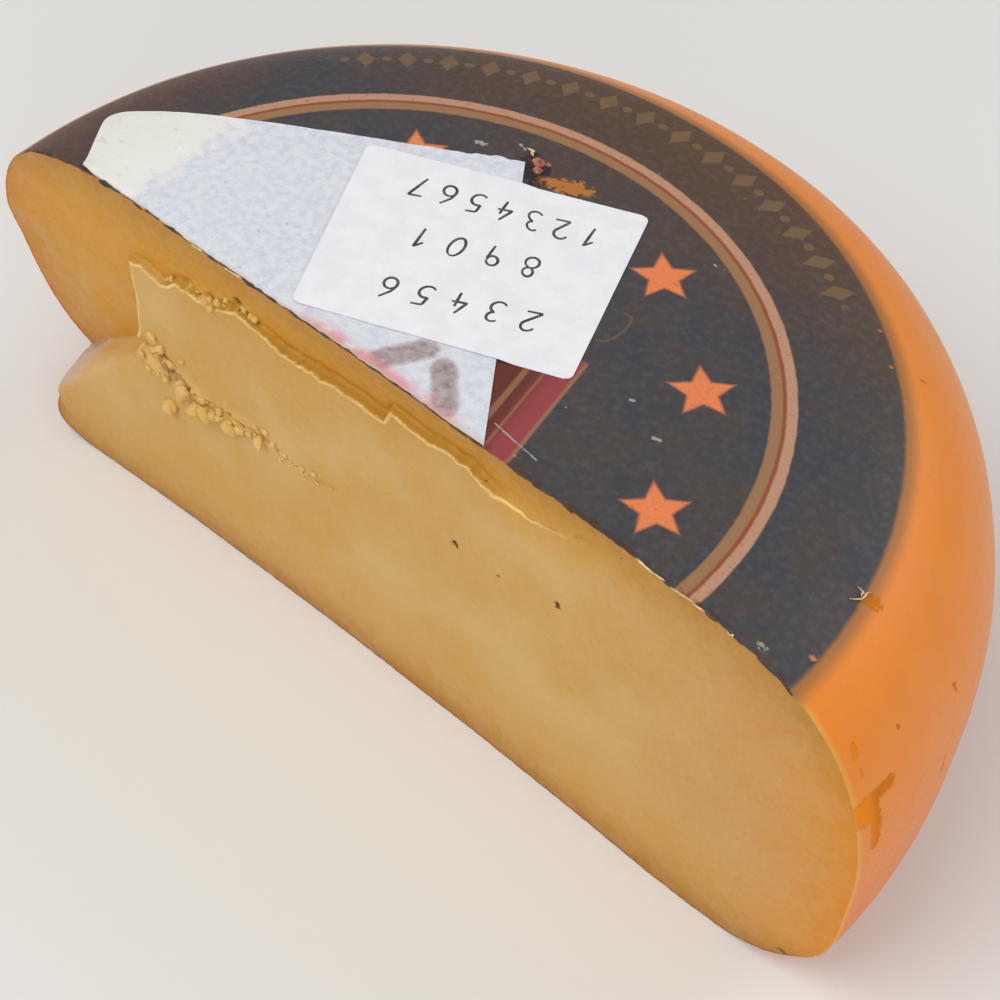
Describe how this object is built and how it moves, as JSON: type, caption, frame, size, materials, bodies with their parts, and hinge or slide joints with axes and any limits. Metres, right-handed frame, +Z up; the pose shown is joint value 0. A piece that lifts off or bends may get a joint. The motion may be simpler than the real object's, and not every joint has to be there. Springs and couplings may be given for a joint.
{
  "type": "half wheel of gouda cheese",
  "caption": "Half of a gouda cheese wheel lying on its flat underside, with an orange coated rind, a dark printed top, a torn cut face and paper labels on top.",
  "frame": {"origin": "centre of the bounding box on the plane the cheese lies on", "axes": "+X along the cut face to its right end, +Y from the cut face into the cheese, +Z up"},
  "size_m": [0.25, 0.1352, 0.104],
  "materials": {
    "cheese": "satin: firm waxy cheese, smooth on the cut face, with a coated orange rind that is printed dark on top",
    "paper": "matte, slightly damp and grey in places",
    "label": "matte, clean, with numerals in pen"
  },
  "bodies": {
    "root": {"cheese": "cheese", "paper_sheet": "paper", "pen_label": "label"}
  },
  "joints": []
}
